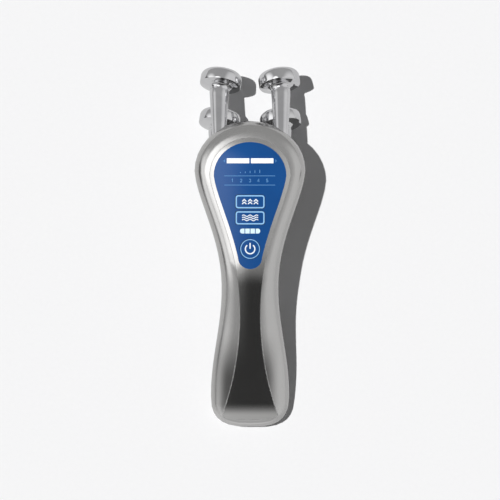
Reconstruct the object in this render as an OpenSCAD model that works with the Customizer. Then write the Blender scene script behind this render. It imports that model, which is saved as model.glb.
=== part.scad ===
// Hand-held facial toning device with four chromed contact probes, lying on its back.
// Millimetres. X runs across the device, Y from the foot to the probes, Z up from the table.

/* [Housing outline] */
// Length of the housing from its foot to its nose
body_length = 154.4; // [150:0.2:160]
// How far the front probes reach past the nose
probe_reach = 27.4; // [26:0.1:29]
// Widest part of the head
head_w = 55.6; // [54:0.2:58]
// Length of the rounded nose
nose_round = 25; // [23:0.5:27]
// Narrowest part of the waist
waist_w = 28.5; // [28:0.1:31]
// Distance of the waist from the foot
waist_from_foot = 70.9; // [68:0.2:74]
// Widest part of the foot
foot_w = 39.8; // [38:0.2:44]
// Length of the rounded foot
foot_round = 15.9; // [14:0.1:17]

/* [Housing profile] */
// Angle by which the handle bends down behind the keys
handle_bend = 20.8; // [20:0.1:21.6]
// Height of the casing seam at the widest part of the foot
foot_seam_z = 7.2; // [6.8:0.1:7.8]
// Height of the head above the seam
head_up = 10; // [9.9:0.1:10.6]
// Height of the foot above the seam
foot_up = 8.5; // [8:0.1:9.4]
// Depth of the head below the seam
head_down = 15.5; // [15:0.1:16.5]
// Depth of the waist below the seam
waist_down = 10.5; // [10.2:0.1:11.5]
// Wall of the two casings
wall = 2.2; // [2:0.1:2.4]
// Shadow gap between the two casings
seam_gap = 0.3; // [0.2:0.05:0.4]

/* [Centre panel] */
// Width of the panel across the head
panel_w = 40.4; // [39:0.2:41.4]
// Width of the panel at its neck
panel_neck_w = 10.4; // [10:0.1:11]
// Width of the panel at the foot
panel_foot_w = 28; // [26:0.2:29]
// Thickness of the panel
panel_t = 1.8; // [1.6:0.1:2]
// Thickness of the ledge that carries the panel
ledge_t = 1.4; // [1.2:0.1:1.6]
// How far the ledge reaches under the panel
ledge_w = 1.4; // [1.2:0.1:1.6]
// Gap round the panel
panel_gap = 0.15; // [0.1:0.05:0.2]

/* [Controls] */
// Margin between the panel's edge and the overlay
overlay_margin = 2.2; // [2:0.1:2.6]
// Thickness of the overlay
overlay_t = 0.5; // [0.4:0.05:0.6]
// Width of the two mode keys
mode_key_w = 14.4; // [13:0.1:15]
// Height of the two mode keys
mode_key_h = 6.6; // [6:0.1:7]
// Pitch of the two mode keys
mode_key_pitch = 8; // [7.8:0.1:8.4]
// Diameter of the power key
power_key_d = 9.8; // [9:0.1:10.2]
// Travel of a key
key_travel = 0.35; // [0.3:0.05:0.4]
// Gap round a key
key_gap = 0.3; // [0.25:0.05:0.35]
// Length of one level bar
level_bar_w = 11.1; // [10:0.1:11.6]
// Width of a level bar
level_bar_h = 2.4; // [2:0.1:3]
// Pitch of the four status lamps
status_pitch = 2.6; // [2.5:0.05:2.8]

/* [Probes] */
// Diameter of a probe head
probe_head_d = 20.8; // [20:0.1:21.4]
// Rounding of the head's outer edge
probe_edge_r = 2.8; // [2.4:0.1:3.2]
// Height of the straight band below the rounding
probe_band = 4; // [3.6:0.1:4.4]
// Rise of the domed face inside the rounding
probe_dome = 0.9; // [0.6:0.1:1.2]
// Diameter of the stem behind the head
stem_top_d = 9.8; // [9:0.1:10]
// Diameter of the stem where it enters the housing
stem_base_d = 6.7; // [6.4:0.1:7]
// Length from the middle of the head to the stem's shoulder
probe_length = 34; // [33.8:0.1:34.4]
// Downward tilt of the probes
probe_tilt = 20; // [19:0.1:21]
// Inward lean of the heads
head_lean = 8; // [6:0.5:9]
// Spacing of the two front stems
front_spacing = 31; // [30:0.1:32]
// Spacing of the two rear stems
rear_spacing = 32.4; // [31.6:0.1:33]
// Step back from the front pair to the rear pair
pair_step = 19.5; // [19:0.1:20.5]
// Drop from the front pair to the rear pair
pair_drop = 9; // [8.8:0.1:9.4]

/* [Inside] */
// Diameter of the rechargeable cell
cell_d = 10.5; // [10:0.1:10.6]
// Length of the rechargeable cell
cell_length = 43; // [40:0.5:44]
// Thickness of the main board
board_t = 1.6; // [1.2:0.1:1.6]
// Diameter of the charging plug
plug_d = 3.5; // [3:0.1:3.6]
// Clearance of parts that slide or slip together
fit_gap = 0.05; // [0.03:0.01:0.08]

/* [Hidden] */
$fn = 48;

// Stations along the housing
total_length = body_length + probe_reach;
foot_y = -total_length / 2;
nose_y = foot_y + body_length;
head_y = nose_y - nose_round;
heel_y = foot_y + foot_round;
waist_y = foot_y + waist_from_foot;
tip_y = foot_y + 80.4;         // lower tip of the overlay, where the handle starts to bend
panel_head_y = head_y - 2.5;
panel_nose = nose_y - 8.7 - panel_head_y;
panel_neck_y = foot_y + 59.9;
panel_heel_y = foot_y + 6.9;
panel_foot_round = 3;

// Steps of the curved skins, for one side of the outline
nose_steps = 9;
side_steps = 22;
foot_steps = 7;
arc_steps = 8;
lining_steps = 5;
back_steps = 14;

// Exponents of the rounded sections
head_skew = 0.78;
panel_skew = 0.7;
flare = 2.1;
foot_n = 2.8;
side_n = 2.4;
nose_drop_n = 2.6;

bend_soft = 3;
seam_low_z = 4;                // seam height at the very end of the foot
rest_bite = 1;                 // depth that the flat rest takes off the rounded foot
foot_down = foot_seam_z + 0.8;

function ease(s) = (1 - cos(180 * s)) / 2;
function clamp01(s) = min(1, max(0, s));
function bend_drop(y) = y >= tip_y ? 0
    : sqrt(pow((tip_y - y) * tan(handle_bend), 2) + pow(bend_soft, 2)) - bend_soft;

split_z = foot_seam_z + bend_drop(heel_y);
top_z = split_z + head_up;

function mid_z(y) = split_z - bend_drop(y);
function seam_z(y) = max(seam_low_z, mid_z(y));
function face_z(y) = mid_z(y) + head_up
    + (foot_up - head_up) * clamp01((tip_y - y) / (tip_y - panel_heel_y));
function depth_down(y) = y > waist_y
    ? waist_down + (head_down - waist_down) * ease(clamp01((y - waist_y) / (head_y - waist_y)))
    : waist_down + (foot_down - waist_down) * ease(clamp01((waist_y - y) / (waist_y - heel_y)));
function depth(y) = min(depth_down(y) + seam_z(y) - mid_z(y), seam_z(y) + rest_bite);

// Half widths of the housing and of the panel along the sides
function body_half(y) = y > waist_y
    ? head_w / 2 - (head_w - waist_w) / 2 * ease(pow((head_y - y) / (head_y - waist_y), head_skew))
    : waist_w / 2 + (foot_w - waist_w) / 2 * ease((waist_y - y) / (waist_y - heel_y));
function panel_half(y) = y > panel_neck_y
    ? panel_w / 2 - (panel_w - panel_neck_w) / 2
        * ease(pow((panel_head_y - y) / (panel_head_y - panel_neck_y), panel_skew))
    : panel_neck_w / 2 + (panel_foot_w - panel_neck_w) / 2
        * pow((panel_neck_y - y) / (panel_neck_y - panel_heel_y), flare);

// The right half of each outline, from the nose round to the foot
function body_side(inset) = concat(
    [for (i = [0 : nose_steps]) let (a = 90 - 90 * i / nose_steps)
        [(head_w / 2 - inset) * cos(a), head_y + (nose_round - inset) * sin(a)]],
    [for (i = [1 : side_steps - 1]) let (y = head_y + (heel_y - head_y) * i / side_steps)
        [body_half(y) - inset, y]],
    [for (i = [0 : foot_steps]) let (a = 90 * i / foot_steps)
        [(foot_w / 2 - inset) * pow(cos(a), 2 / foot_n),
         heel_y - (foot_round - inset) * pow(sin(a), 2 / foot_n)]]);
function panel_side(inset) = concat(
    [for (i = [0 : nose_steps]) let (a = 90 - 90 * i / nose_steps)
        [(panel_w / 2 - inset) * cos(a), panel_head_y + (panel_nose - inset) * sin(a)]],
    [for (i = [1 : side_steps - 1])
        let (y = panel_head_y + (panel_heel_y - panel_head_y) * i / side_steps)
        [panel_half(y) - inset, y]],
    [for (i = [0 : foot_steps]) let (a = 90 * i / foot_steps)
        [(panel_foot_w / 2 - inset) * pow(cos(a), 2 / foot_n),
         panel_heel_y - (panel_foot_round - inset) * pow(sin(a), 2 / foot_n)]]);
last_row = nose_steps + side_steps + foot_steps;
function flip(p) = [-p[0], p[1]];
function flip3(p) = [-p[0], p[1], p[2]];

// A ring whose section is swept round a closed loop: rows is a list of closed sections
module swept_ring(rows) {
    n = len(rows);
    m = len(rows[0]);
    polyhedron([for (row = rows) each row],
        [for (i = [0 : n - 1], j = [0 : m - 1])
            let (a = i * m + j, b = i * m + (j + 1) % m,
                c = ((i + 1) % n) * m + j, d = ((i + 1) % n) * m + (j + 1) % m)
            each [[a, c, b], [b, c, d]]]);
}

// A solid between two skins of the same layout, whose first and last rows are single points
module two_skins(upper, lower) {
    n = len(upper) - 1;
    k = len(upper[1]) - 1;
    half = 2 + (n - 1) * (k + 1);
    points = concat([for (row = upper) each row], [for (row = lower) each row]);
    edge = concat([0], [for (i = [1 : n - 1]) 1 + (i - 1) * (k + 1)], [half - 1],
        [for (i = [n - 1 : -1 : 1]) 1 + (i - 1) * (k + 1) + k]);
    skin = concat(
        [for (j = [0 : k - 1]) [0, 1 + j, 2 + j]],
        [for (i = [1 : n - 2], j = [0 : k - 1]) let (a = 1 + (i - 1) * (k + 1) + j, c = a + k + 1)
            each [[a, c, a + 1], [a + 1, c, c + 1]]],
        [for (j = [0 : k - 1]) let (a = 1 + (n - 2) * (k + 1) + j) [a, half - 1, a + 1]]);
    polyhedron(points, concat(
        skin,
        [for (f = skin) [f[0] + half, f[2] + half, f[1] + half]],
        [for (i = [0 : len(edge) - 1]) let (a = edge[i], b = edge[(i + 1) % len(edge)])
            each [[a, a + half, b], [b, a + half, b + half]]]));
}

// A round tube along a hand-chosen route
module lead(route, r) {
    n = len(route) - 1;
    sides = 8;
    function unit(v) = v / norm(v);
    function along(i) = unit(route[min(n, i + 1)] - route[max(0, i - 1)]);
    rings = [for (i = [0 : n]) let (t = along(i), u = unit(cross(t, [0.3, 0.2, 1])), v = cross(t, u))
        [for (j = [0 : sides - 1]) route[i] + r * (cos(360 * j / sides) * u + sin(360 * j / sides) * v)]];
    polyhedron([for (ring = rings) each ring], concat(
        [[for (j = [0 : sides - 1]) j]],
        [for (i = [0 : n - 1], j = [0 : sides - 1])
            let (a = i * sides + j, b = i * sides + (j + 1) % sides)
            each [[a, a + sides, b], [b, a + sides, b + sides]]],
        [[for (j = [sides - 1 : -1 : 0]) n * sides + j]]));
}

// Probes: the frame of each probe has its origin in the middle of the head
head_r = probe_head_d / 2;
edge_ring_r = head_r - probe_edge_r;
knuckle = 7.5;                 // from the middle of the head back to the stem's upper end
shank_d = 4.4;
shank_length = 4;
stud_d = 2.5;
stud_length = 3.4;
nut_t = 2.4;
nut_d = 5.8;
tag_t = 0.5;
function head_dir(side) = [-side * sin(head_lean), cos(head_lean) * cos(probe_tilt),
    -cos(head_lean) * sin(probe_tilt)];
function reach(cosine) = edge_ring_r * sqrt(1 - cosine * cosine) + probe_edge_r;
front_head_y = total_length / 2 - reach(head_dir(1)[1]);
rear_head_z = reach(-head_dir(1)[2]);
front_head_z = rear_head_z + pair_drop;
rear_head_y = front_head_y - pair_step;
head_shift = knuckle * sin(head_lean);
function front_head(side) = [side * (front_spacing / 2 - head_shift), front_head_y, front_head_z];
function rear_head(side) = [side * (rear_spacing / 2 - head_shift), rear_head_y, rear_head_z];
// A point on a stem's axis, by its distance behind the middle of the head along the stem
function on_stem(head, side, back) = [head[0] + side * head_shift, head[1] - back * cos(probe_tilt),
    head[2] + back * sin(probe_tilt)];
module along_stem(head, side, back) {
    translate(on_stem(head, side, back)) rotate([90 - probe_tilt, 0, 0]) children();
}
shoulder = probe_length;
shank_end = shoulder + shank_length;
stud_end = shank_end + stud_length;
knuckle_back = knuckle * cos(head_lean);
stem_length = shoulder - knuckle_back;

module head_profile() {
    neck_r = stem_top_d / 2 - 0.05;
    fillet = 2.2;
    dome_z = probe_edge_r;
    polygon(concat(
        [[0, dome_z + probe_dome]],
        [for (i = [1 : 5]) let (t = i / 5)
            [edge_ring_r * t, dome_z + probe_dome * (1 - t * t)]],
        [for (a = [80 : -10 : 0]) [edge_ring_r + probe_edge_r * cos(a), probe_edge_r * sin(a)]],
        [[head_r, -probe_band + 0.5], [head_r - 0.15, -probe_band + 0.15], [head_r - 0.5, -probe_band]],
        [for (a = [0 : 15 : 90])
            [neck_r + fillet - fillet * sin(a), -probe_band - 0.6 - fillet + fillet * cos(a)]],
        [[neck_r, -knuckle], [0, -knuckle]]));
}

// The stem with its round knuckle, shank and stud, measured back from the knuckle
module stem_profile() {
    knuckle_r = stem_top_d / 2;
    shank_z = stem_length + shank_length;
    polygon(concat(
        [for (a = [90 : -10 : 0]) [knuckle_r * cos(a), -knuckle_r * sin(a)]],
        [[stem_base_d / 2, stem_length], [shank_d / 2, stem_length], [shank_d / 2, shank_z],
         [stud_d / 2, shank_z], [stud_d / 2, shank_z + stud_length], [0, shank_z + stud_length]]));
}

module probe(head, side) {
    color("silver") {
        translate(head) rotate([-90 - probe_tilt, 0, 0]) rotate([0, -side * head_lean, 0])
            rotate_extrude() head_profile();
        along_stem(head, side, knuckle_back) rotate_extrude() stem_profile();
    }
}

// Sockets of the probes in the housing
turret_r = 5.6;
turret_mouth = 13.2;           // distance behind the rear heads at which the turrets start
stem_clear = 0.15;
front_bore = 10;               // length of the hole for a front stem through the nose
function stem_d(back) = stem_top_d + (stem_base_d - stem_top_d) * (back - knuckle_back) / stem_length;
module rear_turrets() {
    for (side = [-1, 1]) along_stem(rear_head(side), side, turret_mouth)
        cylinder(r = turret_r, h = shank_end - turret_mouth);
}
module rear_sockets() {
    for (side = [-1, 1]) {
        along_stem(rear_head(side), side, turret_mouth - 1)
            cylinder(d1 = stem_d(turret_mouth - 1) + 2 * stem_clear, d2 = stem_d(shoulder) + 2 * stem_clear,
                h = shoulder + fit_gap - turret_mouth + 1);
        along_stem(rear_head(side), side, shoulder)
            cylinder(d = shank_d + 2 * fit_gap, h = shank_length + 1);
    }
}
module front_sockets() {
    for (side = [-1, 1]) along_stem(front_head(side), side, shoulder - front_bore)
        cylinder(d1 = stem_d(shoulder - front_bore) + 2 * stem_clear, d2 = stem_base_d + 2 * stem_clear,
            h = front_bore);
    for (side = [-1, 1]) along_stem(front_head(side), side, shoulder - 0.1)
        cylinder(r = sleeve_r + 0.3, h = shank_length + 1);
}

// Screws through the back: [x, y] of each, mirrored to both sides
screw_spots = [[15.5, foot_y + 107.9], [9.8, foot_y + 57.9], [11.5, foot_y + 18.9]];
screw_head_r = 2.5;
screw_head_h = 1.8;
screw_shaft_r = 1.25;
screw_grip = 5.5;              // from the seam down to the underside of the screw's head
screw_bite = 4.4;              // from the seam up to the screw's tip
boss_r = 2.6;
back_boss_r = 3.5;
boss_up = 5.6;
module at_screws() {
    for (spot = screw_spots, side = [-1, 1])
        translate([side * spot[0], spot[1], seam_z(spot[1])]) children();
}

// Charging jack in the end of the foot, on its own small board
charge_board_z = wall + 0.3;
charge_board_t = 0.8;
charge_board_y = foot_y + 4.4;
charge_board_l = 10;
jack_box = [6.4, 6.8, 4.4];
jack_barrel_r = 2.1;
jack_mouth_y = foot_y + 1.4;
jack_bore_depth = 10;
jack_z = charge_board_z + charge_board_t + jack_box[2] / 2;
module jack_hole() {
    translate([0, foot_y - 1, jack_z]) rotate([-90, 0, 0]) cylinder(r = jack_barrel_r + 0.2, h = 6);
}

// Levels inside the head
panel_under_z = top_z - panel_t;
key_flange_t = 0.8;
key_flange_w = 0.8;
key_flange_z = panel_under_z - 0.3 - key_flange_t;
switch_h = 1.5;
switch_w = 4.6;
plunger_r = 1.1;
plunger_h = 1.4;
plunger_top_z = key_flange_z - 1.1;
board_top_z = plunger_top_z - 0.7 - switch_h;
board_z = board_top_z - board_t;
lamp_h = 0.8;
pipe_z = board_top_z + lamp_h + 0.2;

// Places of the controls, measured from the overlay's tip
upper_key_y = tip_y + 33.45;
lower_key_y = upper_key_y - mode_key_pitch;
power_key_y = tip_y + 10;
status_y = tip_y + 18.9;
level_y = tip_y + 53.8;
level_bar_x = level_bar_w / 2 + 0.45;
key_corner_r = 1.1;

// Screws that hold the board to posts under the panel
board_spots = [[13, tip_y + 47.5], [-13, tip_y + 47.5], [10.3, tip_y + 29.5], [-10.3, tip_y + 29.5],
    [0, tip_y + 1.8]];
post_r = 1.6;
board_screw_r = 0.8;
board_nose_y = tip_y + 54.5;
board_margin = 3.4;

// The bar that carries the front probes, on two posts of the rear casing
sleeve_r = 3;
carrier_post = [5, tip_y + 57.2];
carrier_post_r = 2.2;
carrier_foot_z = split_z - 1.8;
carrier_foot_t = 2;

// The cell lies along the handle
cell_y = waist_y - 17.5;
cell_reach = 20;
cell_slope = atan((mid_z(cell_y + cell_reach) - mid_z(cell_y - cell_reach)) / (2 * cell_reach));
cell_z = (mid_z(cell_y + cell_reach) + mid_z(cell_y - cell_reach)) / 2 + 0.15;
tray_wall = 0.9;
lead_r = 0.5;

module rounded(w, h, r) {
    square([w - 2 * r, h], center = true);
    square([w, h - 2 * r], center = true);
    for (x = [-1, 1], y = [-1, 1]) translate([x * (w / 2 - r), y * (h / 2 - r)]) circle(r);
}

// Outlines of the controls, each grown by a gap
module mode_key_outline(gap) {
    rounded(mode_key_w + 2 * gap, mode_key_h + 2 * gap, key_corner_r + gap);
}
module power_key_outline(gap) { circle(d = power_key_d + 2 * gap); }
module level_outline(gap) {
    for (side = [-1, 1]) translate([side * level_bar_x, level_y])
        square([level_bar_w + 2 * gap, level_bar_h + 2 * gap], center = true);
}
module status_outline(gap) {
    bar_w = 3 * status_pitch + 2.2 + 2 * gap;
    for (i = [0 : 3]) intersection() {
        translate([0, status_y]) rounded(bar_w, level_bar_h + 2 * gap, level_bar_h / 2 - 0.1 + gap);
        translate([(i - 1.5) * status_pitch, status_y])
            square([2.2 + 2 * gap, 4], center = true);
    }
}
module openings_outline() {
    translate([0, upper_key_y]) mode_key_outline(key_gap);
    translate([0, lower_key_y]) mode_key_outline(key_gap);
    translate([0, power_key_y]) power_key_outline(key_gap);
    level_outline(fit_gap);
    status_outline(fit_gap);
}

// The drop-shaped overlay: a half outline from its top to its tip
function drop_side(gap) = let (m = overlay_margin - gap, neck_y = tip_y + 5.5) concat(
    [for (i = [0 : 12]) let (a = 90 - 90 * i / 12)
        [(panel_w / 2 - m) * cos(a), panel_head_y + (panel_nose - m) * sin(a)]],
    [for (i = [1 : 13]) let (y = panel_head_y + (neck_y - panel_head_y) * i / 13) [panel_half(y) - m, y]],
    [for (i = [1 : 7]) let (a = 90 * i / 7)
        [(panel_half(neck_y) - m) * cos(a), neck_y - (5.5 + gap) * sin(a)]]);
module drop_outline(gap) {
    side = drop_side(gap);
    polygon(concat(side, [for (i = [len(side) - 2 : -1 : 1]) flip(side[i])]));
}

module front_casing() {
    rim = body_side(0);
    rim_in = body_side(wall);
    lip = panel_side(0);
    lip_in = panel_side(ledge_w);
    seat = panel_t + fit_gap;
    sections = [for (i = [0 : last_row]) let (
            s = rim[i], p = lip[i], q = rim_in[i], e = lip_in[i],
            zs = seam_z(s[1]), zq = seam_z(q[1]), zp = face_z(p[1]), zi = zp - seat - ledge_t)
        concat(
            [for (k = [0 : arc_steps]) let (a = 90 * k / arc_steps,
                    c = pow(cos(a), 2 / side_n), h = pow(sin(a), 2 / side_n))
                [p[0] + (s[0] - p[0]) * c, p[1] + (s[1] - p[1]) * c, zs + (zp - zs) * h]],
            [[p[0], p[1], zp - seat], [e[0], e[1], zp - seat], [e[0], e[1], zi]],
            [for (k = [lining_steps : -1 : 0]) let (a = 90 * k / lining_steps,
                    c = pow(cos(a), 2 / side_n), h = pow(sin(a), 2 / side_n))
                [p[0] + (q[0] - p[0]) * c, p[1] + (q[1] - p[1]) * c, zq + (zi - zq) * h]])];
    mirrored = [for (i = [last_row - 1 : -1 : 1]) [for (v = sections[i]) flip3(v)]];
    color("silver") difference() {
        union() {
            swept_ring(concat(sections, mirrored));
            at_screws() cylinder(r = boss_r, h = boss_up);
        }
        at_screws() translate([0, 0, -1]) cylinder(r = screw_shaft_r - 0.1, h = screw_bite + 1.4);
        front_sockets();
        jack_hole();
    }
}

module rear_casing() {
    function shut(y, inset) = let (
            nose = clamp01((y - head_y) / (nose_round - inset)),
            foot = clamp01((heel_y - y) / (foot_round - inset)))
        pow(1 - pow(nose, nose_drop_n), 1 / nose_drop_n) * pow(1 - pow(foot, foot_n), 1 / foot_n);
    function skin(inset, floor) = [for (i = [0 : last_row]) let (
            s = body_side(inset)[i], y = s[1], top = seam_z(y) - seam_gap,
            down = (depth(y) - inset) * shut(y, inset) - seam_gap)
        i == 0 || i == last_row ? [[0, y, top]]
        : [for (k = [0 : back_steps]) let (a = 180 * k / back_steps,
                c = (a > 90 ? -1 : 1) * pow(abs(cos(a)), 2 / side_n), h = pow(sin(a), 2 / side_n))
            [s[0] * c, y, max(floor, top - down * h)]]];
    function lid(s) = [for (i = [0 : last_row]) let (y = s[i][1], top = seam_z(y) - seam_gap)
        i == 0 || i == last_row ? [[0, y, top]]
        : [for (k = [0 : back_steps]) [s[i][0] * cos(180 * k / back_steps), y, top]]];
    color("silver") difference() {
        union() {
            two_skins(skin(wall, wall), skin(0, 0));
            intersection() {
                two_skins(lid(body_side(0)), skin(0, 0));
                union() {
                    at_screws() translate([0, 0, -20]) cylinder(r = back_boss_r, h = 20);
                    for (side = [-1, 1]) translate([side * carrier_post[0], carrier_post[1], 0])
                        cylinder(r = carrier_post_r, h = carrier_foot_z - fit_gap);
                }
            }
            rear_turrets();
        }
        at_screws() {
            translate([0, 0, -21]) cylinder(r = screw_head_r + 0.2, h = 21 - screw_grip);
            translate([0, 0, -21]) cylinder(r = screw_shaft_r + 0.15, h = 22);
        }
        for (side = [-1, 1]) translate([side * carrier_post[0], carrier_post[1], carrier_foot_z - 6])
            cylinder(r = board_screw_r, h = 7);
        rear_sockets();
        front_sockets();
        jack_hole();
    }
}

module centre_panel() {
    side = panel_side(panel_gap);
    columns = 4;
    function skin(down) = [for (i = [0 : last_row]) let (p = side[i], z = face_z(p[1]) - down)
        i == 0 || i == last_row ? [[0, p[1], z]]
        : [for (k = [0 : columns]) [p[0] * (1 - 2 * k / columns), p[1], z]]];
    color("dimgray") difference() {
        union() {
            two_skins(skin(0), skin(panel_t));
            for (spot = board_spots) translate([spot[0], spot[1], board_top_z + fit_gap])
                cylinder(r = post_r, h = panel_under_z - board_top_z + 0.5);
        }
        translate([0, 0, top_z - overlay_t - fit_gap]) linear_extrude(overlay_t + 1) drop_outline(fit_gap);
        translate([0, 0, panel_under_z - 1]) linear_extrude(panel_t + 2) openings_outline();
        for (spot = board_spots) translate([spot[0], spot[1], board_top_z - 1])
            cylinder(r = board_screw_r - 0.1, h = 4.2);
    }
}

module control_overlay() {
    color("royalblue") translate([0, 0, top_z - overlay_t]) linear_extrude(overlay_t) difference() {
        drop_outline(0);
        openings_outline();
    }
}

// A key: its cap, the flange that keeps it under the panel and the foot that presses its switch
module key(y) {
    color("royalblue") translate([0, y, 0]) {
        translate([0, 0, key_flange_z]) linear_extrude(top_z - key_flange_z) children(0);
        translate([0, 0, key_flange_z]) linear_extrude(key_flange_t) children(1);
        translate([0, 0, plunger_top_z]) cylinder(r = plunger_r + 0.3, h = key_flange_z - plunger_top_z + 0.4);
    }
}
module upper_mode_key() { key(upper_key_y) { mode_key_outline(0); mode_key_outline(key_flange_w / 2); } }
module lower_mode_key() { key(lower_key_y) { mode_key_outline(0); mode_key_outline(key_flange_w / 2); } }
module power_key() { key(power_key_y) { power_key_outline(0); power_key_outline(key_flange_w); } }
module plunger(y) {
    color("black") translate([0, y, plunger_top_z - plunger_h]) cylinder(r = plunger_r, h = plunger_h);
}
module key_switches() {
    color("gray") for (y = [upper_key_y, lower_key_y, power_key_y]) difference() {
        translate([-switch_w / 2, y - switch_w / 2, board_top_z]) cube([switch_w, switch_w, switch_h]);
        translate([0, y, plunger_top_z - plunger_h - key_travel - fit_gap])
            cylinder(r = plunger_r + fit_gap, h = 3);
    }
}

module level_light_pipes() {
    color("white") {
        translate([0, 0, pipe_z]) linear_extrude(top_z - pipe_z) level_outline(0);
        translate([0, 0, panel_under_z - fit_gap - 0.8]) linear_extrude(0.8) level_outline(0.4);
    }
}
module status_light_pipes() {
    color("white") translate([0, 0, pipe_z]) linear_extrude(top_z - pipe_z) status_outline(0);
}
module lamp(x, y) {
    translate([x - 0.8, y - 0.4, board_top_z]) cube([1.6, 0.8, lamp_h]);
}
module level_leds() {
    color("ivory") for (side = [-1, 1], i = [-1 : 1]) lamp(side * level_bar_x + i * level_bar_w / 3, level_y);
}
module status_leds() {
    color("ivory") for (i = [0 : 3]) lamp((i - 1.5) * status_pitch, status_y);
}

module main_board() {
    steps = 14;
    side = [for (i = [0 : steps]) let (y = board_nose_y - (board_nose_y - tip_y) * i / steps)
        [(y > panel_head_y ? panel_w / 2 * sqrt(1 - pow((y - panel_head_y) / panel_nose, 2)) : panel_half(y))
            - board_margin, y]];
    color("darkgreen") translate([0, 0, board_z]) linear_extrude(board_t) difference() {
        polygon(concat(side, [for (i = [steps : -1 : 0]) flip(side[i])]));
        for (spot = board_spots) translate(spot) circle(board_screw_r + 0.15);
    }
}
module board_screws() {
    color("silver") for (spot = board_spots) translate([spot[0], spot[1], board_z]) {
        translate([0, 0, -fit_gap]) cylinder(r = board_screw_r - 0.15, h = board_t + 3);
        translate([0, 0, -1 - fit_gap]) cylinder(r = board_screw_r + 0.8, h = 1);
    }
}
module under_board(spot, size) {
    translate([spot[0] - size[0] / 2, spot[1] - size[1] / 2, board_z - size[2]]) cube(size);
}
module control_chip() {
    color("black") under_board([0, tip_y + 42.4], [7, 7, 1]);
}
coil_spot = [5, tip_y + 50.4];
coil_r = 3.6;
coil_h = 3.6;
module output_coils() {
    color("darkorange") for (side = [-1, 1]) translate([side * coil_spot[0], coil_spot[1], board_z - coil_h])
        difference() {
            cylinder(r = coil_r, h = coil_h);
            translate([0, 0, 1]) difference() {
                cylinder(r = coil_r + 1, h = coil_h - 2);
                cylinder(r = coil_r - 0.5, h = coil_h - 2);
            }
        }
}
capacitor_spot = [4, tip_y + 36];
module board_capacitors() {
    color("navy") for (side = [-1, 1])
        translate([side * capacitor_spot[0], capacitor_spot[1], board_z - 5]) cylinder(r = 2.5, h = 5);
}
buzzer_y = tip_y + 25;
module buzzer() {
    color("black") translate([0, buzzer_y, board_z - 3.2]) difference() {
        cylinder(r = 6, h = 3.2);
        translate([0, 0, -1]) cylinder(r = 0.9, h = 2);
    }
}
socket_y = tip_y + 12;
socket_size = [6, 5, 3.6];
module battery_socket() {
    color("ivory") difference() {
        under_board([0, socket_y], socket_size);
        translate([-2.4, socket_y - 4, board_z - 3]) cube([4.8, 5, 2.2]);
    }
}

// The cell's frame: origin in the cell's middle, Z up along the handle
module in_cell_frame() {
    translate([0, cell_y, cell_z]) rotate([-90 + cell_slope, 0, 0]) children();
}
module battery_cell() {
    color("steelblue") in_cell_frame() {
        translate([0, 0, -cell_length / 2]) cylinder(d = cell_d, h = cell_length);
        translate([0, 0, cell_length / 2 - 1]) cylinder(d = cell_d / 2, h = 1.5);
    }
}
module battery_tray() {
    inner_r = cell_d / 2 + fit_gap;
    outer_r = inner_r + tray_wall;
    color("dimgray") in_cell_frame() difference() {
        translate([0, 0, -cell_length / 2 - 1.2]) cylinder(r = outer_r, h = cell_length + 2.4);
        translate([0, 0, -cell_length / 2 - 0.2]) cylinder(r = inner_r, h = cell_length + 0.4);
        translate([-outer_r - 1, -outer_r - 1, -cell_length]) cube([2 * outer_r + 2, outer_r + 1, 2 * cell_length]);
        translate([0, 0, cell_length / 2 - 2]) cylinder(d = cell_d / 2 + 1, h = 4);
    }
}

module carrier_post_spots() {
    for (side = [-1, 1]) translate([side * carrier_post[0], carrier_post[1], 0]) children();
}
module probe_carrier() {
    color("ivory") difference() {
        union() {
            for (side = [-1, 1]) along_stem(front_head(side), side, shoulder) cylinder(r = sleeve_r, h = shank_length);
            translate(on_stem(front_head(0), 0, shoulder)) rotate([90 - probe_tilt, 0, 0])
                translate([-front_spacing / 2, -2.5, 0]) cube([front_spacing, 5, shank_length]);
            translate([-carrier_post[0] - 3, carrier_post[1] - 3, carrier_foot_z])
                cube([2 * carrier_post[0] + 6, 6.5, carrier_foot_t]);
        }
        for (side = [-1, 1]) along_stem(front_head(side), side, shoulder - 1)
            cylinder(d = shank_d + 2 * fit_gap, h = shank_length + 2);
        carrier_post_spots() translate([0, 0, carrier_foot_z - 1]) cylinder(r = board_screw_r + 0.15, h = 9);
        carrier_post_spots() translate([0, 0, carrier_foot_z + carrier_foot_t]) cylinder(r = 2, h = 9);
    }
}
module carrier_screws() {
    color("silver") carrier_post_spots() {
        translate([0, 0, carrier_foot_z - 5]) cylinder(r = board_screw_r - 0.15, h = 5 + carrier_foot_t + 0.5);
        translate([0, 0, carrier_foot_z + carrier_foot_t + fit_gap]) cylinder(r = 1.7, h = 1.1);
    }
}

// Nuts and solder tags on the studs of the four probes
module at_studs() {
    for (side = [-1, 1]) {
        along_stem(front_head(side), side, shank_end) mirror([side > 0 ? 0 : 1, 0, 0]) children();
        along_stem(rear_head(side), side, shank_end) mirror([side > 0 ? 0 : 1, 0, 0]) children();
    }
}
module probe_nuts() {
    color("silver") at_studs() translate([0, 0, tag_t + 0.1]) difference() {
        cylinder(d = nut_d, h = nut_t, $fn = 6);
        translate([0, 0, -1]) cylinder(d = stud_d + 2 * fit_gap, h = nut_t + 2);
    }
}
tag_reach = 5.2;
module probe_tags() {
    color("goldenrod") at_studs() translate([0, 0, 0.05]) difference() {
        union() {
            cylinder(r = 2.8, h = tag_t);
            translate([-tag_reach, -0.9, 0]) cube([tag_reach, 1.8, tag_t]);
        }
        translate([0, 0, -1]) cylinder(d = stud_d + 2 * fit_gap, h = 3);
    }
}

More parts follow.
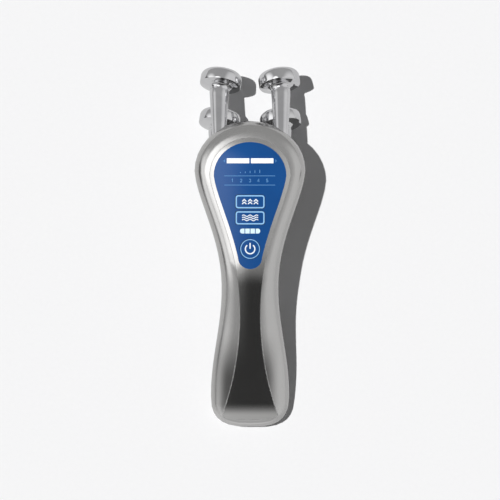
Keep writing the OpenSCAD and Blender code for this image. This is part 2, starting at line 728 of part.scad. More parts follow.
// Wires, each along a hand-chosen route; the second of a pair is its mirror image
module pair_of_leads(route) {
    for (side = [-1, 1]) lead([for (v = route) [side * v[0], v[1], v[2]]], lead_r);
}
function tag_end(head) = on_stem(head, 1, shank_end + 0.05 + tag_t / 2) - [tag_reach, 0, 0];
module probe_leads() {
    front = tag_end(front_head(1));
    rear = tag_end(rear_head(1));
    color("crimson") {
        pair_of_leads([front + [-0.55, 0, 0], front + [-1.2, -1.2, -0.6], front + [-1.5, -3, -1.9],
            front + [-1.5, -5, -2.2], front + [-1.6, -7.4, -1.95]]);
        pair_of_leads([rear + [-0.55, 0, 0], rear + [-1.1, -0.3, 1.2], rear + [-1.3, -0.6, 3],
            [rear[0] - 1.4, rear[1] - 0.8, board_z - 1.8], [rear[0] - 1.4, rear[1] - 0.8, board_z - 0.05]]);
    }
}
module battery_leads() {
    end_y = cell_y + cell_length / 2 * cos(cell_slope);
    end_z = cell_z + cell_length / 2 * sin(cell_slope);
    plug_y = socket_y - 2;
    color("crimson") pair_of_leads([[1.2, end_y + 0.8, end_z + 0.9], [1.2, end_y + 2.2, end_z + 1.1],
        [1.3, end_y + 5, end_z + 0.9], [1.4, plug_y - 3, board_z - 2], [1.4, plug_y + 1, board_z - 1.9]]);
}
module charge_leads() {
    over_cell = 3.9;
    color("crimson") pair_of_leads(concat(
        [[3, charge_board_y + charge_board_l - 1.2, charge_board_z + charge_board_t + lead_r + 0.05],
         [3.2, charge_board_y + charge_board_l + 1.5, charge_board_z + charge_board_t + 1.4],
         [4, charge_board_y + charge_board_l + 5, mid_z(charge_board_y + charge_board_l + 5) + 1.4]],
        [for (y = [foot_y + 25, foot_y + 32, foot_y + 39, foot_y + 46, foot_y + 53, foot_y + 60, foot_y + 67,
            foot_y + 73]) [5, y, mid_z(y) + over_cell]],
        [[4.4, tip_y - 3.2, board_z - 0.9], [3.4, tip_y + 1.5, board_z - 1.2],
         [3.2, tip_y + 5, board_z - lead_r - 0.05]]));
}

module charge_jack() {
    body_y = charge_board_y + 1.4;
    color("black") translate([0, 0, jack_z]) difference() {
        union() {
            translate([-jack_box[0] / 2, body_y, -jack_box[2] / 2]) cube(jack_box);
            translate([0, jack_mouth_y, 0]) rotate([-90, 0, 0]) cylinder(r = jack_barrel_r, h = body_y - jack_mouth_y + 1);
        }
        translate([0, jack_mouth_y - 1, 0]) rotate([-90, 0, 0])
            cylinder(d = plug_d + 2 * fit_gap, h = jack_bore_depth + 1);
    }
}
module charge_board() {
    color("darkgreen") translate([-7, charge_board_y, charge_board_z]) cube([14, charge_board_l, charge_board_t]);
}
module casing_screws() {
    color("silver") at_screws() {
        translate([0, 0, -screw_grip - screw_head_h]) cylinder(r = screw_head_r, h = screw_head_h);
        translate([0, 0, -screw_grip - 1]) cylinder(r = screw_shaft_r - 0.15, h = screw_grip + 1 + screw_bite);
    }
}

front_casing();
rear_casing();
centre_panel();
control_overlay();
upper_mode_key();
lower_mode_key();
power_key();
plunger(upper_key_y);  // upper_key_plunger
plunger(lower_key_y);  // lower_key_plunger
plunger(power_key_y);  // power_key_plunger
key_switches();
level_light_pipes();
status_light_pipes();
level_leds();
status_leds();
main_board();
board_screws();
control_chip();
output_coils();
board_capacitors();
battery_socket();
buzzer();
battery_cell();
battery_tray();
battery_leads();
probe(front_head(-1), -1);  // probe_front_left
mirror([1, 0, 0]) probe(front_head(-1), -1);  // probe_front_right
probe(rear_head(-1), -1);  // probe_rear_left
mirror([1, 0, 0]) probe(rear_head(-1), -1);  // probe_rear_right
probe_carrier();
carrier_screws();
probe_nuts();
probe_tags();
probe_leads();
charge_jack();
charge_board();
charge_leads();
casing_screws();
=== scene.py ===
import math

import bmesh
import bpy
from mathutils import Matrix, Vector


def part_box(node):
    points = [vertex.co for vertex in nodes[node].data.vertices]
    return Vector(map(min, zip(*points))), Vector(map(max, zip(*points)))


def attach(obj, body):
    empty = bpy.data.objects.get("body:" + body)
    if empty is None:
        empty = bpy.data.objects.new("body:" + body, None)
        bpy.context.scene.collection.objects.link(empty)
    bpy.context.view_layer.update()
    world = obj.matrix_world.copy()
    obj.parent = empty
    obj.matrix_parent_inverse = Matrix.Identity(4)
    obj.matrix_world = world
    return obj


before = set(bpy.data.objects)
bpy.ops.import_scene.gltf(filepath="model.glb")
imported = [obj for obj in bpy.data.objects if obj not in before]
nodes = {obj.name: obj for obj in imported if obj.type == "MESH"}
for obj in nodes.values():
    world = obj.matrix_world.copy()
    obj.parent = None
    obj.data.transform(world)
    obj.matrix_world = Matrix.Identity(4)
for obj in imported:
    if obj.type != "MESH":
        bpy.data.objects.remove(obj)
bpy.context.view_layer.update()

# Hand-held facial toning device on a pale table, seen from straight above.
# Everything is in metres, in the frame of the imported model.
mm = 0.001
bodyOf = {
    "panel": "housing",
    "upper": "upper_mode_key_body",
    "lower": "lower_mode_key_body",
    "power": "power_key_body",
}


def newGroup(name, inputs, outputs):
    group = bpy.data.node_groups.new(name, "ShaderNodeTree")
    for label, value in inputs.items():
        socket = group.interface.new_socket(label, in_out="INPUT", socket_type="NodeSocketFloat")
        socket.default_value = value
    for label in outputs:
        group.interface.new_socket(label, in_out="OUTPUT", socket_type="NodeSocketFloat")
    start = group.nodes.new("NodeGroupInput")
    end = group.nodes.new("NodeGroupOutput")
    return group, start.outputs, end.inputs


def add(tree, kind, **settings):
    node = tree.nodes.new(kind)
    for key, value in settings.items():
        if key in node.inputs:
            node.inputs[key].default_value = value
        else:
            setattr(node, key, value)
    return node


def link(tree, a, b):
    tree.links.new(a, b)


# Feeds a socket from another one, or writes a number or colour on it
def feed(tree, socket, value):
    if isinstance(value, bpy.types.NodeSocket):
        tree.links.new(value, socket)
    elif isinstance(value, (int, float)):
        socket.default_value = value
    else:
        socket.default_value = (*value, 1)


def maths(tree, operation, a, b=0.5):
    node = add(tree, "ShaderNodeMath", operation=operation)
    feed(tree, node.inputs[0], a)
    feed(tree, node.inputs[1], b)
    return node.outputs[0]


def times(tree, a, b):
    return maths(tree, "MULTIPLY", a, b)


def plus(tree, a, b):
    return maths(tree, "ADD", a, b)


def minus(tree, a, b):
    return maths(tree, "SUBTRACT", a, b)


def larger(tree, a, b):
    return maths(tree, "MAXIMUM", a, b)


def mixColour(tree, factor, a, b):
    node = add(tree, "ShaderNodeMix", data_type="RGBA")
    for index, value in ((0, factor), (6, a), (7, b)):
        feed(tree, node.inputs[index], value)
    return node.outputs[2]


# Smooth step from 0 at the low value to 1 at the high one
def ramp(tree, value, low, high):
    node = add(tree, "ShaderNodeMapRange", interpolation_type="SMOOTHSTEP")
    for label, limit in (("Value", value), ("From Min", low), ("From Max", high)):
        feed(tree, node.inputs[label], limit)
    return node.outputs["Result"]


def objectPlace(tree):
    return add(tree, "ShaderNodeTexCoord").outputs["Object"]


def objectAxis(tree, axis):
    split = add(tree, "ShaderNodeSeparateXYZ")
    link(tree, objectPlace(tree), split.inputs[0])
    return split.outputs[axis]


def noiseAt(tree, place, scale, detail, roughness=0.5):
    noise = add(tree, "ShaderNodeTexNoise", Detail=detail, Roughness=roughness)
    link(tree, place, noise.inputs["Vector"])
    feed(tree, noise.inputs["Scale"], scale)
    return noise.outputs[0]


# Numbers of the shader groups: detail and roughness of the noise, and levels spread from 0 to 1
grainNoise = {
    "fineDetail": 2.0,
    "fineRoughness": 0.6,
    "coarseDetail": 1.0,
    "levels": (0.32, 0.68),
}
mottleNoise = {
    "detail": 4.0,
    "roughness": 0.55,
    "levels": (0.3, 0.7),
}
wearNoise = {
    "samples": 6,
    "turned": (0.995, 0.93),
    "standsOut": (0.495, 0.53),
    "detail": 3.0,
    "levels": (0.35, 0.6),
}
hairNoise = {
    "turns": ((0.4, 0.28, 0.52), (1.9, 1.33, 2.47)),
    "detail": 2.0,
    "levels": (0.6, 0.72),
}


# Fine metallic speckle of sprayed paint: Speckle runs from 0 to 1, Height is for a bump
def makeGrainGroup():
    group, given, out = newGroup("paintGrain", {
        "Fine Scale": 2600.0,
        "Coarse Scale": 900.0,
        "Coarse Share": 0.4,
    }, ("Speckle", "Height"))
    place = objectPlace(group)
    look = grainNoise
    fine = noiseAt(group, place, given["Fine Scale"], look["fineDetail"], look["fineRoughness"])
    coarse = noiseAt(group, place, given["Coarse Scale"], look["coarseDetail"])
    share = add(group, "ShaderNodeMix")
    link(group, given["Coarse Share"], share.inputs[0])
    link(group, fine, share.inputs[2])
    link(group, coarse, share.inputs[3])
    link(group, ramp(group, share.outputs[0], *look["levels"]), out["Speckle"])
    link(group, share.outputs[0], out["Height"])
    return group


# Slow cloudy change over a surface, for handling marks and uneven finish
def makeMottleGroup():
    group, given, out = newGroup("mottle", {"Scale": 60.0}, ("Value",))
    look = mottleNoise
    cloud = noiseAt(group, objectPlace(group), given["Scale"], look["detail"], look["roughness"])
    link(group, ramp(group, cloud, *look["levels"]), out["Value"])
    return group


# Worn convex edges: where the normal turns within a short reach, on the side that stands out
def makeEdgeWearGroup():
    group, given, out = newGroup("edgeWear", {
        "Reach": 0.3 * mm,
        "Break Up Scale": 700.0,
        "Even Share": 0.3,
    }, ("Mask",))
    look = wearNoise
    shape = add(group, "ShaderNodeNewGeometry")
    rounded = add(group, "ShaderNodeBevel", samples=look["samples"])
    link(group, given["Reach"], rounded.inputs["Radius"])
    turn = add(group, "ShaderNodeVectorMath", operation="DOT_PRODUCT")
    link(group, rounded.outputs[0], turn.inputs[0])
    link(group, shape.outputs["Normal"], turn.inputs[1])
    turned = ramp(group, turn.outputs["Value"], *look["turned"])
    standsOut = ramp(group, shape.outputs["Pointiness"], *look["standsOut"])
    patches = noiseAt(group, objectPlace(group), given["Break Up Scale"], look["detail"])
    broken = larger(group, ramp(group, patches, *look["levels"]), given["Even Share"])
    link(group, times(group, times(group, turned, standsOut), broken), out["Mask"])
    return group


# Fine hairline scratches in two directions, as on handled chrome
def makeScratchGroup():
    group, given, out = newGroup("hairlines", {"Scale": 400.0, "Stretch": 18.0}, ("Mask", "Height"))
    lines = []
    for turn in hairNoise["turns"]:
        mapping = add(group, "ShaderNodeMapping", Rotation=turn)
        link(group, objectPlace(group), mapping.inputs["Vector"])
        squeeze = add(group, "ShaderNodeCombineXYZ", X=1.0, Y=1.0)
        link(group, maths(group, "DIVIDE", 1.0, given["Stretch"]), squeeze.inputs["Z"])
        link(group, squeeze.outputs[0], mapping.inputs["Scale"])
        hair = noiseAt(group, mapping.outputs[0], given["Scale"], hairNoise["detail"])
        lines.append(ramp(group, hair, *hairNoise["levels"]))
    both = larger(group, *lines)
    link(group, both, out["Mask"])
    link(group, times(group, both, -1.0), out["Height"])
    return group


# How far along the housing a point lies: 0 before the beginning, 1 past the end
def makeHandleFadeGroup():
    group, given, out = newGroup("handleFade", {"Begin": -6 * mm, "End": -16 * mm}, ("Value",))
    link(group, ramp(group, objectAxis(group, "Y"), given["Begin"], given["End"]), out["Value"])
    return group


# Gentle crown of the controls and the handle: falls away to both sides and at the nose
def makeCrownGroup():
    group, given, out = newGroup("gentleCrown", {
        "Radius": 160 * mm,
        "Nose From": 41 * mm,
        "Nose Radius": 55 * mm,
    }, ("Height",))
    aside = objectAxis(group, "X")
    ahead = larger(group, minus(group, objectAxis(group, "Y"), given["Nose From"]), 0.0)
    drops = [maths(group, "DIVIDE", times(group, away, away), times(group, given[radius], -2.0))
             for away, radius in ((aside, "Radius"), (ahead, "Nose Radius"))]
    link(group, plus(group, *drops), out["Height"])
    return group


# How near a point lies to a line along the housing: 1 inside the inner reach, 0 past the outer
def makeNearLineGroup():
    group, given, out = newGroup("nearLine", {
        "Line At": 0.0,
        "Inner": 9 * mm,
        "Outer": 18 * mm,
    }, ("Value",))
    away = maths(group, "ABSOLUTE", minus(group, objectAxis(group, "X"), given["Line At"]))
    link(group, ramp(group, away, given["Outer"], given["Inner"]), out["Value"])
    return group


grainGroup = makeGrainGroup()
mottleGroup = makeMottleGroup()
edgeWearGroup = makeEdgeWearGroup()
scratchGroup = makeScratchGroup()
handleFadeGroup = makeHandleFadeGroup()
crownGroup = makeCrownGroup()
nearLineGroup = makeNearLineGroup()
print("shader groups made")


# Places a group in a material: fineScale=6500 sets its input "Fine Scale"
def useGroup(tree, group, **values):
    node = add(tree, "ShaderNodeGroup", node_tree=group)
    for key, value in values.items():
        label = "".join(" " + c if c.isupper() else c for c in key).title().strip()
        node.inputs[label].default_value = value
    return node.outputs


def newMaterial(name, **sockets):
    material = bpy.data.materials.new(name)
    material.use_nodes = True
    tree = material.node_tree
    shader = tree.nodes["Principled BSDF"].inputs
    for key, value in sockets.items():
        shader[key.replace("_", " ")].default_value = value
    return material, tree, shader


def useGrain(tree, look):
    return useGroup(tree, grainGroup, fineScale=look["fineScale"], coarseScale=look["coarseScale"],
                    coarseShare=look["coarseShare"])


def bumpFrom(tree, shader, height, depth, under=None):
    bump = add(tree, "ShaderNodeBump", Strength=1.0, Distance=depth)
    link(tree, height, bump.inputs["Height"])
    if under:
        link(tree, under, bump.inputs["Normal"])
    link(tree, bump.outputs["Normal"], shader["Normal"])


# The normal of a crowned surface, for the grain's bump to start from
def crowned(tree, radius):
    bump = add(tree, "ShaderNodeBump", Strength=1.0, Distance=1.0)
    link(tree, useGroup(tree, crownGroup, radius=radius)["Height"], bump.inputs["Height"])
    return bump.outputs["Normal"]


# Roughness of a surface, raised a little by each of some masks
def roughen(tree, shader, least, *raised):
    total = least
    for mask, amount in raised:
        total = plus(tree, times(tree, mask, amount), total)
    link(tree, total, shader["Roughness"])


# Sprayed silver of both casings, darker beside the panel low on the handle as painted shade for a dark
# reflection, paler at the foot as painted light
silverPaintAndPaintedLight = {
    "colour": (0.62, 0.615, 0.605),
    "darkFleck": (0.55, 0.545, 0.54),
    "fineScale": 6500.0,
    "coarseScale": 3000.0,
    "coarseShare": 0.35,
    "grainDepth": 0.003 * mm,
    "metallic": 0.92,
    "roughness": 0.17,
    "roughnessSwing": 0.03,
    "cloudScale": 45.0,
    "wornColour": (0.78, 0.775, 0.77),
    "wornReach": 0.35 * mm,
    "wornEvenly": 0.7,
    "rubbedLeast": 0.3,
    "rubbedBegin": -12 * mm,
    "rubbedEnd": -45 * mm,
    # Painted shade beside the panel low on the handle: its colour, the line it gathers round, its
    # reach, and where it begins and ends
    "paintedShadeColour": (0.17, 0.168, 0.165),
    "shadeAt": -2 * mm,
    "shadeInner": 9.5 * mm,
    "shadeOuter": 17.5 * mm,
    "shadeBegin": -40 * mm,
    "shadeEnd": -67 * mm,
    # Painted light at the foot: where it begins and ends, and how much less metallic the paint turns
    # there
    "footBegin": -78 * mm,
    "footEnd": -85 * mm,
    "footPaintedLight": 0.55,
}

# Centre panel on the handle: charcoal as painted shade for a dark reflection, paler along its left edge
# as a painted highlight
panelPaintAndPaintedLight = {
    "crown": 75 * mm,
    "begin": 3 * mm,
    "end": -20 * mm,
    "colour": (0.26, 0.257, 0.252),
    "darkFleck": (0.17, 0.168, 0.165),
    "paleAt": -10 * mm,
    "paleInner": 3 * mm,
    "paleOuter": 10.5 * mm,
    "paleBegin": -14 * mm,
    "paleEnd": -66 * mm,
}


def makeSilverPaintAndPaintedLight(name, look, handle=None):
    material, tree, shader = newMaterial(name)
    speckle, height = useGrain(tree, look)
    worn = useGroup(tree, edgeWearGroup, reach=look["wornReach"], evenShare=look["wornEvenly"])[0]
    cloud = useGroup(tree, mottleGroup, scale=look["cloudScale"])[0]
    foot = useGroup(tree, handleFadeGroup, begin=look["footBegin"], end=look["footEnd"])[0]
    hand = useGroup(tree, handleFadeGroup, begin=look["rubbedBegin"], end=look["rubbedEnd"])[0]
    colour = mixColour(tree, speckle, look["darkFleck"], look["colour"])
    if handle:
        # Painted shade: the panel fades to charcoal down the handle, standing in for a dark reflection
        fade = useGroup(tree, handleFadeGroup, begin=handle["begin"], end=handle["end"])[0]
        darker = mixColour(tree, speckle, handle["darkFleck"], handle["colour"])
        colour = mixColour(tree, fade, colour, darker)
        # Painted highlight: paler along the panel's left edge
        edge = useGroup(tree, nearLineGroup, lineAt=handle["paleAt"], inner=handle["paleInner"],
                        outer=handle["paleOuter"])[0]
        above = useGroup(tree, handleFadeGroup, begin=handle["paleEnd"], end=handle["paleBegin"])[0]
        colour = mixColour(tree, times(tree, edge, above), colour, look["colour"])
        # Painted light at the foot: the panel turns back to silver
        colour = mixColour(tree, foot, colour, look["colour"])
    else:
        # Painted shade: the casings darken beside the panel low on the handle, standing in for a dark
        # reflection
        inner = useGroup(tree, nearLineGroup, lineAt=look["shadeAt"], inner=look["shadeInner"],
                         outer=look["shadeOuter"])[0]
        low = useGroup(tree, handleFadeGroup, begin=look["shadeBegin"], end=look["shadeEnd"])[0]
        shaded = times(tree, times(tree, inner, low), minus(tree, 1.0, foot))
        colour = mixColour(tree, shaded, colour, look["paintedShadeColour"])
    rubbed = times(tree, worn, larger(tree, hand, look["rubbedLeast"]))
    link(tree, mixColour(tree, rubbed, colour, look["wornColour"]), shader["Base Color"])
    # Painted light at the foot: the paint turns less metallic so it looks paler
    paintedFootLight = minus(tree, 1.0, times(tree, foot, look["footPaintedLight"]))
    bare = times(tree, minus(tree, 1.0, rubbed), look["metallic"])
    link(tree, times(tree, bare, paintedFootLight), shader["Metallic"])
    swing = look["roughnessSwing"]
    roughen(tree, shader, look["roughness"], (cloud, swing), (speckle, swing))
    under = crowned(tree, handle["crown"]) if handle else None
    bumpFrom(tree, shader, height, look["grainDepth"], under)
    return material


# Blue lacquer of the overlay and the keys
bluePrint = {
    "deep": (0.0, 0.066, 0.258),
    "light": (0.0, 0.075, 0.290),
    "gloss": 0.5,
    "roughness": 0.17,
    "roughnessSwing": 0.006,
    "cloudScale": 35.0,
    "fineScale": 6400.0,
    "coarseScale": 2600.0,
    "coarseShare": 0.5,
    "grainDepth": 0.0002 * mm,
    "wornColour": (0.2, 0.4, 0.75),
    "wornReach": 0.2 * mm,
    "wornShare": 0.25,
    "crown": 160 * mm,
}


def makeBlue(name, look):
    material, tree, shader = newMaterial(name, Specular_IOR_Level=look["gloss"])
    speckle, height = useGrain(tree, look)
    cloud = useGroup(tree, mottleGroup, scale=look["cloudScale"])[0]
    worn = useGroup(tree, edgeWearGroup, reach=look["wornReach"])[0]
    colour = mixColour(tree, cloud, look["deep"], look["light"])
    colour = mixColour(tree, times(tree, worn, look["wornShare"]), colour, look["wornColour"])
    link(tree, colour, shader["Base Color"])
    roughen(tree, shader, look["roughness"], (speckle, look["roughnessSwing"]))
    bumpFrom(tree, shader, height, look["grainDepth"], crowned(tree, look["crown"]))
    return material


# Chrome plate of the four probes
chromePlate = {
    "colour": (0.80, 0.80, 0.81),
    "smudge": (0.72, 0.72, 0.735),
    "smudgeScale": 110.0,
    "smudgeHaze": 0.03,
    "roughness": 0.045,
    "hairScale": 500.0,
    "hairStretch": 22.0,
    "hairHaze": 0.05,
    "hairDepth": 0.0006 * mm,
}


def makeChrome(name, look):
    material, tree, shader = newMaterial(name, Metallic=1.0)
    hair, height = useGroup(tree, scratchGroup, scale=look["hairScale"], stretch=look["hairStretch"])
    cloud = useGroup(tree, mottleGroup, scale=look["smudgeScale"])[0]
    link(tree, mixColour(tree, cloud, look["colour"], look["smudge"]), shader["Base Color"])
    roughen(tree, shader, look["roughness"], (cloud, look["smudgeHaze"]), (hair, look["hairHaze"]))
    bumpFrom(tree, shader, height, look["hairDepth"])
    return material


# Light bars and status windows: colour, glow and its strength
lampLooks = {
    "lampWhite": ((0.93, 0.95, 0.97), (0.9, 0.96, 1.0), 0.35),
    "lampBlue": ((0.70, 0.87, 0.97), (0.55, 0.82, 1.0), 0.2),
}
lampFinish = {
    "roughness": 0.3,
    "cloudScale": 400.0,
    "dimmest": 0.93,
    "depth": 0.006 * mm,
}


def makeLamp(name, colour, glow, strength):
    material, tree, shader = newMaterial(name, Roughness=lampFinish["roughness"],
                                         Emission_Strength=strength)
    cloud = useGroup(tree, mottleGroup, scale=lampFinish["cloudScale"])[0]
    for bright, socket in ((colour, "Base Color"), (glow, "Emission Color")):
        dim = tuple(c * lampFinish["dimmest"] for c in bright)
        link(tree, mixColour(tree, cloud, bright, dim), shader[socket])
    bumpFrom(tree, shader, cloud, lampFinish["depth"])
    return material


# Printing inks: colour, and how strongly a painted glow brightens them
inkLooks = {
    "inkWhite": ((0.86, 0.92, 0.97), 0.22),
    "inkPale": ((0.30, 0.58, 0.90), 0.16),
    "inkDim": ((0.13, 0.34, 0.66), 0.06),
}
inkFinish = {
    "roughness": 0.35,
    "faded": 0.84,
    "fineScale": 5200.0,
    "coarseScale": 2100.0,
    "coarseShare": 0.5,
    "grainDepth": 0.004 * mm,
}


def makeInk(name, colour, glow):
    # Painted glow: the inks shine by themselves to look brighter
    material, tree, shader = newMaterial(name, Roughness=inkFinish["roughness"],
                                         Emission_Strength=glow)
    speckle, height = useGrain(tree, inkFinish)
    ink = mixColour(tree, speckle, tuple(c * inkFinish["faded"] for c in colour), colour)
    link(tree, ink, shader["Base Color"])
    link(tree, ink, shader["Emission Color"])
    bumpFrom(tree, shader, height, inkFinish["grainDepth"])
    return material


# Parts inside: colour, second colour, metallic, roughness, grain scale, depth of the grain
insideLooks = {
    "boardLacquer": ((0.02, 0.2, 0.075), (0.03, 0.27, 0.11), 0.0, 0.32, 900.0, 0.01 * mm),
    "blackMoulding": ((0.018, 0.018, 0.02), (0.035, 0.035, 0.038), 0.0, 0.5, 1500.0, 0.02 * mm),
    "greyMoulding": ((0.36, 0.37, 0.385), (0.45, 0.46, 0.48), 0.0, 0.48, 1300.0, 0.02 * mm),
    "ivoryMoulding": ((0.78, 0.74, 0.63), (0.86, 0.83, 0.74), 0.0, 0.42, 1200.0, 0.02 * mm),
    "cellSleeve": ((0.06, 0.2, 0.38), (0.1, 0.28, 0.48), 0.0, 0.26, 600.0, 0.008 * mm),
    "leadSleeve": ((0.48, 0.02, 0.025), (0.62, 0.05, 0.05), 0.0, 0.45, 2200.0, 0.015 * mm),
    "screwSteel": ((0.5, 0.5, 0.505), (0.64, 0.64, 0.65), 1.0, 0.34, 1800.0, 0.012 * mm),
    "tagBrass": ((0.62, 0.46, 0.2), (0.78, 0.62, 0.3), 1.0, 0.36, 1500.0, 0.01 * mm),
    "coilCopper": ((0.58, 0.26, 0.12), (0.75, 0.4, 0.22), 1.0, 0.38, 2600.0, 0.02 * mm),
}
insideFinish = {
    "fineTimes": 2,   # grain scales are multiplied by this for the fine noise
    "coarseShare": 0.5,
    "roughnessSwing": 0.1,
    "wornReach": 0.25 * mm,
    "wornShare": 0.4,
    "wornGain": 1.35,
    "wornLift": 0.02,
}


def makeInside(name, low, high, metallic, roughness, scale, depth):
    look = insideFinish
    material, tree, shader = newMaterial(name, Metallic=metallic)
    speckle, height = useGroup(tree, grainGroup, fineScale=scale * look["fineTimes"], coarseScale=scale,
                               coarseShare=look["coarseShare"])
    worn = useGroup(tree, edgeWearGroup, reach=look["wornReach"])[0]
    brighter = tuple(min(1, c * look["wornGain"] + look["wornLift"]) for c in high)
    colour = mixColour(tree, speckle, low, high)
    colour = mixColour(tree, times(tree, worn, look["wornShare"]), colour, brighter)
    link(tree, colour, shader["Base Color"])
    swing = look["roughnessSwing"]
    roughen(tree, shader, roughness - swing / 2, (speckle, swing))
    bumpFrom(tree, shader, height, depth)
    return material


materials = {
    "silverPaintAndPaintedLight": makeSilverPaintAndPaintedLight("silverPaintAndPaintedLight", silverPaintAndPaintedLight),
    "panelPaintAndPaintedLight": makeSilverPaintAndPaintedLight("panelPaintAndPaintedLight", silverPaintAndPaintedLight, panelPaintAndPaintedLight),
    "bluePrint": makeBlue("bluePrint", bluePrint),
    "chromePlate": makeChrome("chromePlate", chromePlate),
}
for maker, looks in ((makeLamp, lampLooks), (makeInk, inkLooks), (makeInside, insideLooks)):
    for name, look in looks.items():
        materials[name] = maker(name, *look)

finishes = {
    "silverPaintAndPaintedLight": ["front_casing", "rear_casing"],
    "panelPaintAndPaintedLight": ["centre_panel"],
    "bluePrint": ["control_overlay", "upper_mode_key", "lower_mode_key", "power_key"],
    "chromePlate": ["probe_front_left", "probe_front_right", "probe_rear_left", "probe_rear_right"],
    "lampWhite": ["level_light_pipes"],
    "lampBlue": ["status_light_pipes"],
    "boardLacquer": ["main_board", "charge_board"],
    "blackMoulding": ["upper_key_plunger", "lower_key_plunger", "power_key_plunger", "control_chip",
                      "buzzer", "charge_jack"],
    "greyMoulding": ["key_switches", "battery_tray"],
    "ivoryMoulding": ["level_leds", "status_leds", "battery_socket", "probe_carrier"],
    "cellSleeve": ["battery_cell", "board_capacitors"],
    "leadSleeve": ["battery_leads", "probe_leads", "charge_leads"],
    "screwSteel": ["board_screws", "carrier_screws", "casing_screws", "probe_nuts"],
    "tagBrass": ["probe_tags"],
    "coilCopper": ["output_coils"],
}


shading = {
    "sharpFrom": 32,   # degrees between two faces
    "weldWithin": 0.002 * mm,
}


# Smooth shading that stops at sharp edges, after welding the seams between the solids' faces
def makeSmoothing(angle):
    tree = bpy.data.node_groups.new("smoothFaces", "GeometryNodeTree")
    tree.interface.new_socket("Geometry", in_out="INPUT", socket_type="NodeSocketGeometry")
    tree.interface.new_socket("Geometry", in_out="OUTPUT", socket_type="NodeSocketGeometry")
    start = add(tree, "NodeGroupInput")
    end = add(tree, "NodeGroupOutput")
    faces = add(tree, "GeometryNodeSetShadeSmooth")
    edges = add(tree, "GeometryNodeSetShadeSmooth", domain="EDGE")
    bend = add(tree, "GeometryNodeInputMeshEdgeAngle")
    link(tree, start.outputs[0], faces.inputs["Geometry"])
    link(tree, faces.outputs[0], edges.inputs["Geometry"])
    link(tree, maths(tree, "LESS_THAN", bend.outputs[0], angle), edges.inputs["Shade Smooth"])
    link(tree, edges.outputs[0], end.inputs[0])
    return tree


smoothing = makeSmoothing(math.radians(shading["sharpFrom"]))
for finish, names in finishes.items():
    for name in names:
        part = nodes[name]
        part.data.materials.clear()
        part.data.materials.append(materials[finish])
        weld = part.modifiers.new("weld", "WELD")
        weld.merge_threshold = shading["weldWithin"]
        smooth = part.modifiers.new("smooth", "NODES")
        smooth.node_group = smoothing
print("materials made and put on", len(nodes), "nodes")


printing = {
    "topZ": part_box("control_overlay")[1].z,
    "thickness": 0.03 * mm,
    "sink": 0.02 * mm,
    "leastCosine": 0.4,   # keeps a sharp corner from growing long
}


# A thin raised print from strips: each has a left and a right rail of (x, y) in millimetres
def addPrint(name, strips, material, body):
    mesh = bpy.data.meshes.new(name)
    work = bmesh.new()
    topZ = printing["topZ"] + printing["thickness"]
    lowZ = printing["topZ"] - printing["sink"]
    for left, right, closed in strips:
        count = len(left)
        top, low = [], []
        for rail in (left, right):
            top.append([work.verts.new((x * mm, y * mm, topZ)) for x, y in rail])
            low.append([work.verts.new((x * mm, y * mm, lowZ)) for x, y in rail])
        last = count if closed else count - 1
        for i in range(last):
            j = (i + 1) % count
            work.faces.new((top[0][i], top[0][j], top[1][j], top[1][i]))
            work.faces.new((low[0][i], low[1][i], low[1][j], low[0][j]))
            work.faces.new((top[0][i], low[0][i], low[0][j], top[0][j]))
            work.faces.new((top[1][i], top[1][j], low[1][j], low[1][i]))
        if not closed:
            work.faces.new((top[0][0], top[1][0], low[1][0], low[0][0]))
            work.faces.new((top[0][-1], low[0][-1], low[1][-1], top[1][-1]))
    bmesh.ops.recalc_face_normals(work, faces=work.faces)
    work.to_mesh(mesh)
    work.free()
    piece = bpy.data.objects.new(name, mesh)
    bpy.context.scene.collection.objects.link(piece)
    mesh.materials.append(materials[material])
    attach(piece, body)


# A line of even width along points, with its ends cut square
def stroke(points, width, closed=False):
    count = len(points)
    left, right = [], []
    for i, point in enumerate(points):
        here = Vector(point)
        inward = here - Vector(points[i - 1] if i or closed else points[0])
        outward = Vector(points[(i + 1) % count] if i + 1 < count or closed else points[-1]) - here
        inward = (inward if inward.length else outward).normalized()
        outward = outward.normalized() if outward.length else inward
        run = (inward + outward).normalized()
        side = Vector((-run.y, run.x))
        cosine = math.sqrt(max(0.0, (1 + inward.dot(outward)) / 2))
        stretch = 1 / max(printing["leastCosine"], cosine)
        left.append(tuple(here + side * width / 2 * stretch))
        right.append(tuple(here - side * width / 2 * stretch))
    return left, right, closed


def arc(centre, radius, start, end, steps):
    angles = [math.radians(start + (end - start) * i / steps) for i in range(steps + 1)]
    return [(centre[0] + radius * math.cos(a), centre[1] + radius * math.sin(a)) for a in angles]


def roundedFrame(centre, width, height, corner, steps):
    x, y = centre
    points = []
    for cornerX, cornerY, start in ((1, 1, 0), (-1, 1, 90), (-1, -1, 180), (1, -1, 270)):
        points += arc((x + cornerX * (width / 2 - corner), y + cornerY * (height / 2 - corner)),
                      corner, start, start + 90, steps)
    return points


# Centres of the keys and their printed frames and symbols, in millimetres
keyPrint = {
    "upper": (0.0, 22.95),
    "lower": (0.0, 14.95),
    "power": (0.0, -0.5),
    "frameWidth": 13.7,
    "frameHeight": 5.9,
    "frameCorner": 1.0,
    "cornerSteps": 5,
    "line": 0.62,
    "chevronAt": (-2.9, 0, 2.9),
    "chevronLifts": (-1.15, 0.15),
    "chevronHalf": 1.05,
    "chevronRise": 1.0,
    "chevronLine": 0.5,
    "waveLifts": (-1.05, 0.0, 1.05),
    "waveLength": 8.0,
    "waveHeight": 0.38,
    "waveCount": 2.5,
    "waveSteps": 32,
    "waveLine": 0.4,
}


def addKeyFrames():
    look = keyPrint
    for key in ("upper", "lower"):
        outline = roundedFrame(look[key], look["frameWidth"], look["frameHeight"], look["frameCorner"],
                               look["cornerSteps"])
        addPrint(key + "KeyFrame", [stroke(outline, look["line"], closed=True)], "inkPale", bodyOf[key])


